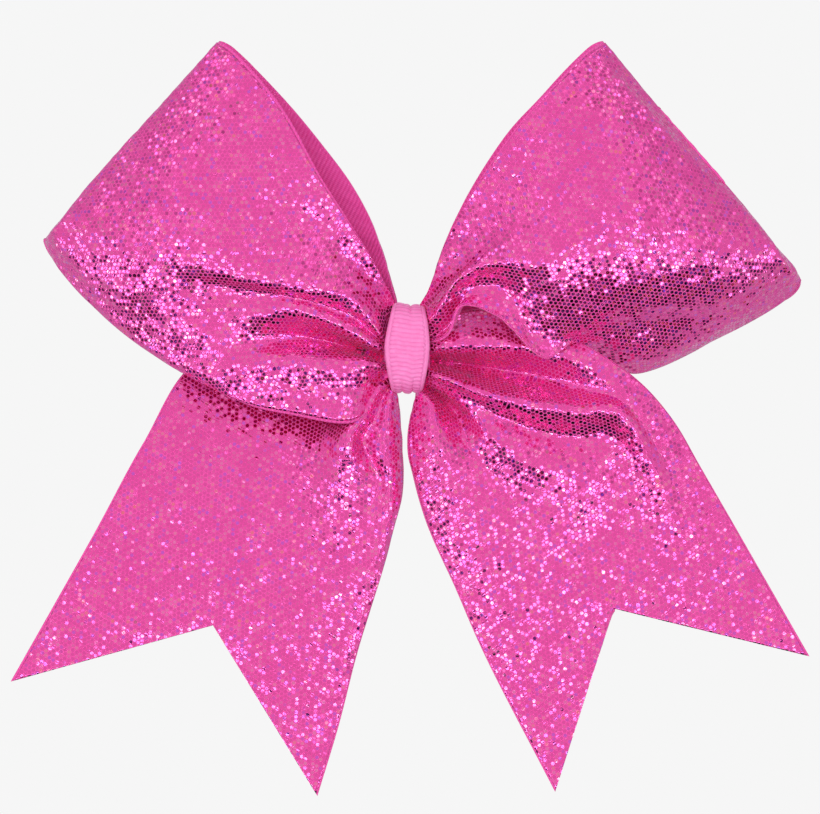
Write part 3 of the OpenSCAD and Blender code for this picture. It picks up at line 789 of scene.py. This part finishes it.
VIEW_CENTRE = Vector((0.0007, MIDDLE_Y * MM, -0.0142))
CAMERA_DISTANCE = 1.2
FRAME_WIDTH = 0.1968      # what the frame spans at the bow's middle plane
BACKDROP = (0.922, 0.922, 0.922)
STUDIO_STRENGTH = 0.5
FLOOR_Z = -0.165          # in metres, like the radius
FLOOR_R = 0.42


def make_camera():
    """A long lens, level and straight in front."""
    data = bpy.data.cameras.new("camera")
    data.sensor_width = 36.0
    data.lens = 36.0 * CAMERA_DISTANCE / FRAME_WIDTH
    camera = bpy.data.objects.new("camera", data)
    camera.location = VIEW_CENTRE - Vector((0, CAMERA_DISTANCE, 0))
    camera.rotation_euler = (math.pi / 2, 0, 0)
    bpy.context.scene.collection.objects.link(camera)
    bpy.context.scene.camera = camera


def make_light(name, place, size, power, colour=(1, 1, 1)):
    """A square soft light that looks at the bow."""
    data = bpy.data.lights.new(name, "AREA")
    data.size = size
    data.energy = power
    data.color = colour
    light = bpy.data.objects.new(name, data)
    light.location = place
    light.rotation_euler = (VIEW_CENTRE - Vector(place)).to_track_quat("-Z", "Y").to_euler()
    light.visible_glossy = False
    bpy.context.scene.collection.objects.link(light)


def make_world():
    """A plain pale backdrop, a soft even studio for the cloth, and bright and dark bands for the foil."""
    world = bpy.data.worlds.new("studio")
    bpy.context.scene.world = world
    world.use_nodes = True
    g = Graph("studio", world.node_tree)
    g.tree.nodes.clear()
    direction = g.node("ShaderNodeTexCoord").outputs["Generated"]
    ripple = g.math("MULTIPLY_ADD", g.noise(direction, 2.6, 1.0), 0.30, -0.15)
    x, y, z = g.node("ShaderNodeSeparateXYZ", Vector=direction).outputs
    height = g.math("MULTIPLY_ADD", g.math("ADD", z, ripple), 0.5, 0.5)
    dark, calm = (0.01, 0.01, 0.01), (1.6, 1.6, 1.6)
    violet, orange, white = (1.1, 1.1, 2.8), (2.2, 1.5, 0.8), (17.0, 25.0, 19.0)
    bands = g.ramp(height, [
        (0.0, (0.02, 0.02, 0.02)), (0.035, dark), (0.045, (0.4, 0.4, 0.8)), (0.055, dark),
        (0.09, dark), (0.10, orange), (0.11, dark), (0.14, dark), (0.15, violet), (0.16, dark),
        (0.19, dark), (0.20, (2.2, 2.6, 2.4)), (0.21, dark), (0.23, dark), (0.24, violet), (0.25, dark),
        (0.268, white), (0.285, (0.3, 0.3, 0.6)), (0.31, (0.6, 1.0, 1.8)), (0.325, (14.0, 20.0, 17.0)),
        (0.34, (1.3, 1.5, 2.0)), (0.36, calm), (0.60, (1.7, 1.7, 1.7)), (0.88, calm),
        (0.92, (3.0, 3.2, 3.0)), (0.95, (0.8, 0.8, 0.8)), (1.0, (1.2, 1.2, 1.2)),
    ])
    side = g.ramp(g.math("ABSOLUTE", g.math("ADD", x, ripple)), [
        (0.0, (1, 1, 1)), (0.48, (1, 1, 1)), (0.54, (2.2, 2.6, 2.6)), (0.60, (0.8, 0.8, 0.85)),
        (0.72, (0.6, 0.6, 0.62)), (0.85, (0.9, 0.9, 0.9)), (1.0, (1, 1, 1)),
    ])
    lit = g.node("ShaderNodeMix", {"data_type": "RGBA", "blend_type": "MULTIPLY"})
    for index, value in ((0, 1.0), (6, bands), (7, side)):
        g.plug(lit.inputs[index], value)
    mirrored = g.mix(g.spread(y, 0.05, 0.40), lit.outputs[2], (1.25, 1.25, 1.35, 1))
    soft = g.ramp(g.math("MULTIPLY_ADD", z, 0.5, 0.5), [
        (0.0, (0.40, 0.42, 0.55)), (0.5, (1.15, 1.15, 1.2)), (1.0, (1.05, 1.05, 1.15))])
    ray = g.node("ShaderNodeLightPath")
    light = g.mix(ray.outputs["Is Glossy Ray"], soft, mirrored)
    studio = g.node("ShaderNodeBackground", Color=light, Strength=STUDIO_STRENGTH)
    plain = g.node("ShaderNodeBackground", Color=(*BACKDROP, 1), Strength=1.0)
    choice = g.node("ShaderNodeMixShader")
    for index, value in ((0, ray.outputs["Is Camera Ray"]), (1, studio.outputs[0]), (2, plain.outputs[0])):
        g.plug(choice.inputs[index], value)
    output = g.node("ShaderNodeOutputWorld")
    g.plug(output.inputs["Surface"], choice.outputs[0])


def make_floor():
    """A pale round floor below the bow."""
    g = Graph("floor")
    speck = g.noise(g.place(), 300.0, 3.0)
    material = g.finish(g.mix(speck, (0.80, 0.80, 0.80, 1), (0.86, 0.86, 0.86, 1)), 0.8)
    ring = [(FLOOR_R / MM * math.cos(a), FLOOR_R / MM * math.sin(a), FLOOR_Z / MM)
            for a in np.linspace(0, 2 * math.pi, 97)[:-1]]
    floor = mesh_piece("floor", ring, [tuple(range(len(ring)))], material)
    floor.visible_glossy = False


make_camera()
make_world()
make_floor()
make_light("key", (-0.35, -1.1, 0.22), 0.7, 7.0)
make_light("fill", (0.7, -0.8, 0.15), 0.5, 1.5)
make_light("rear", (0.2, 0.9, 0.6), 0.6, 5.0)
bpy.context.scene.view_settings.view_transform = "Standard"
